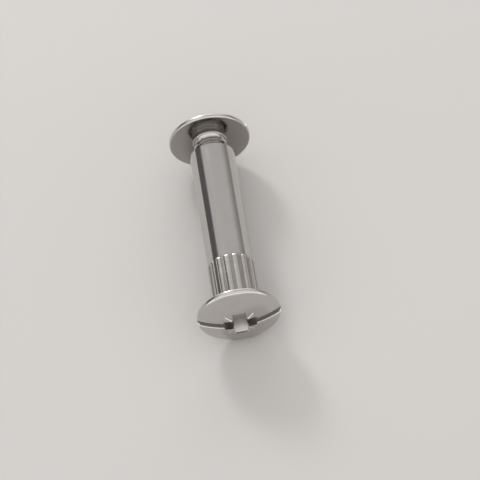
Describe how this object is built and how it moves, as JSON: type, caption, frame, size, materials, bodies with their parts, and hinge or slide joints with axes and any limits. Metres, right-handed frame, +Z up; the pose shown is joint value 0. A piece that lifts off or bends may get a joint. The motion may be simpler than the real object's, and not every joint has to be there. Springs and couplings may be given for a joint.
{
  "type": "binding barrel screw",
  "caption": "Sleeve nut with a ribbed neck and a domed head, and the domed-head screw that threads into it, to clamp boards face to face.",
  "frame": {"origin": "on the ground under the middle of the pair, which lies on its side on the rims of both heads", "axes": "+Y along the common axis, from the sleeve nut's head to the screw's head; +Z up"},
  "size_m": [0.0144, 0.042, 0.0145],
  "materials": {
    "nut_plating": "bright nickel plate on steel, slightly scuffed, satin on the ribs and the rim",
    "screw_plating": "bright nickel plate on steel, with fine turning marks under the head"
  },
  "bodies": {
    "barrel_nut": {"barrel_nut": "nut_plating"},
    "screw": {"screw": "screw_plating"}
  },
  "joints": [
    {"name": "screw_travel", "type": "slide", "parent": "barrel_nut", "child": "screw", "axis": [0, 1, 0], "range_m": [-0.003, 0.036]}
  ]
}
